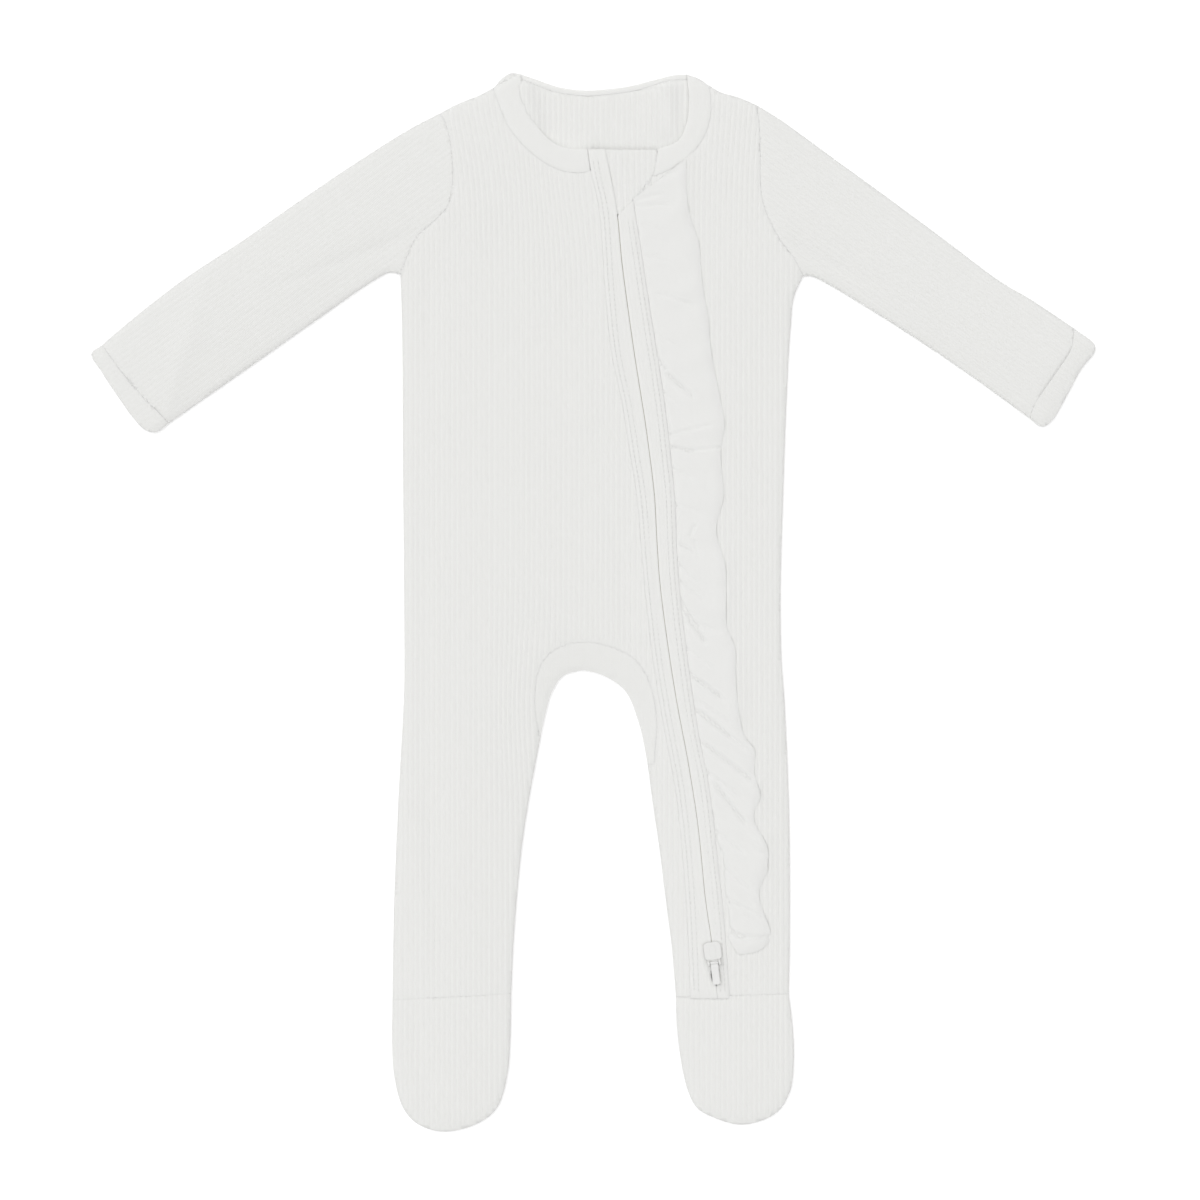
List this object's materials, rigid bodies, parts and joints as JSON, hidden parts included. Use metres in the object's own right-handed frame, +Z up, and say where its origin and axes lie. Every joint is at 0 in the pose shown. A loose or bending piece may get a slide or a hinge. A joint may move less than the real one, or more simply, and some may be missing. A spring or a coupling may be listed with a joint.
{
  "type": "footed baby sleepsuit",
  "caption": "Ribbed knit footed baby sleepsuit laid flat, with long sleeves, mitten cuffs, a slanting zip from neck to ankle and a ruffle beside it.",
  "frame": {"origin": "centre of the garment's outline seen from above, on the surface that it lies on", "axes": "+X towards the wearer's left hand, +Y from the feet to the neck, +Z up from the surface"},
  "size_m": [0.5698, 0.6009, 0.0098],
  "materials": {
    "rib_knit": "matt off-white ribbed knit",
    "smooth_knit": "matt off-white smooth knit",
    "ruffle_jersey": "thin off-white jersey with a slight sheen",
    "zip_tape": "woven off-white tape",
    "zip_metal": "off-white enamel"
  },
  "bodies": {
    "garment": {"back_panel": "rib_knit", "right_sole": "rib_knit", "left_sole": "rib_knit", "front_right": "rib_knit", "front_left": "rib_knit", "right_foot_top": "rib_knit", "left_foot_top": "rib_knit", "crotch_gusset": "rib_knit", "neck_binding_right": "smooth_knit", "neck_binding_left": "smooth_knit", "neck_binding_back": "smooth_knit", "zip_tape": "zip_tape", "right_placket": "smooth_knit", "left_placket": "smooth_knit", "chin_guard": "rib_knit", "ruffle": "ruffle_jersey", "right_sleeve": "rib_knit", "right_cuff": "rib_knit", "left_sleeve": "rib_knit", "left_cuff": "rib_knit", "zip_slider": "zip_metal"},
    "pull": {"zip_pull": "zip_metal"}
  },
  "joints": [
    {"name": "pull_swing", "type": "hinge", "parent": "garment", "child": "pull", "pos_m": [0.06823, -0.204, 0.0082], "axis": [-0.9925, -0.1225, 0], "range_deg": [0, 175]}
  ]
}
